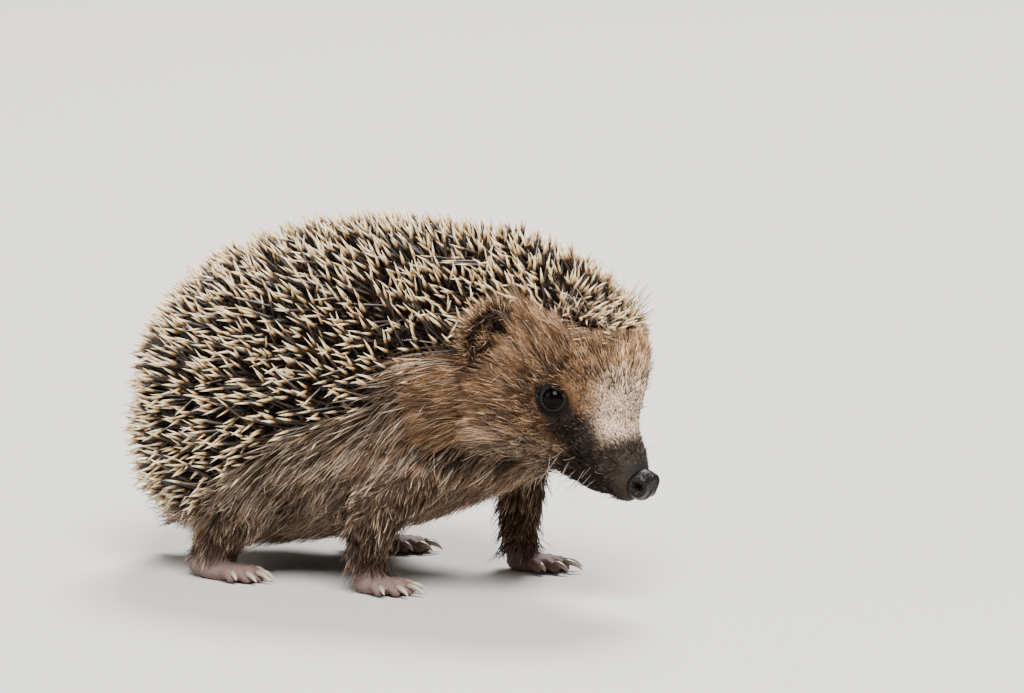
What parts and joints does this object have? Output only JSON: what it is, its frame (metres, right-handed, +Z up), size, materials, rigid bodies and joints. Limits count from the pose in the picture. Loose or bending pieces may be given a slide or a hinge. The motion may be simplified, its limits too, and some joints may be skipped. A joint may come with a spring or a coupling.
{
  "type": "hedgehog",
  "caption": "young European hedgehog, life size, standing still in mid-stride with its nose lowered to sniff; a museum-style model of the whole animal",
  "frame": {"origin": "on the floor, under the middle of the animal's bounding box", "axes": "+X from tail to head along the trunk, +Y to the animal's left, +Z up"},
  "size_m": [0.1576, 0.0848, 0.0938],
  "materials": {
    "quills": "hard smooth spines, dark brown with a cream tip",
    "flank_fur": "coarse tan and grey-beige hair",
    "face_fur": "short ginger-tan hair, paler on the forehead, a dark mask on the muzzle",
    "leg_fur": "short grey-brown hair",
    "ear_skin": "thin dark skin with fine hair",
    "bare_skin": "bare grey-pink skin with fine creases",
    "nose_skin": "wet black grained skin",
    "eye": "wet glossy near-black",
    "claw": "pale horn"
  },
  "bodies": {
    "root": {"mantle": "quills", "trunk": "flank_fur", "neck": "flank_fur", "head": "face_fur", "nose": "nose_skin", "eye_right": "eye", "eye_left": "eye", "ear_right": "ear_skin", "ear_left": "ear_skin", "tail": "leg_fur", "foreleg_right": "leg_fur", "foreleg_left": "leg_fur", "hindleg_right": "leg_fur", "hindleg_left": "leg_fur", "forefoot_right": "bare_skin", "forefoot_left": "bare_skin", "hindfoot_right": "bare_skin", "hindfoot_left": "bare_skin", "forefoot_right_claw_1": "claw", "forefoot_right_claw_2": "claw", "forefoot_right_claw_3": "claw", "forefoot_right_claw_4": "claw", "forefoot_right_claw_5": "claw", "forefoot_left_claw_1": "claw", "forefoot_left_claw_2": "claw", "forefoot_left_claw_3": "claw", "forefoot_left_claw_4": "claw", "forefoot_left_claw_5": "claw", "hindfoot_right_claw_1": "claw", "hindfoot_right_claw_2": "claw", "hindfoot_right_claw_3": "claw", "hindfoot_right_claw_4": "claw", "hindfoot_right_claw_5": "claw", "hindfoot_left_claw_1": "claw", "hindfoot_left_claw_2": "claw", "hindfoot_left_claw_3": "claw", "hindfoot_left_claw_4": "claw", "hindfoot_left_claw_5": "claw"}
  },
  "joints": []
}
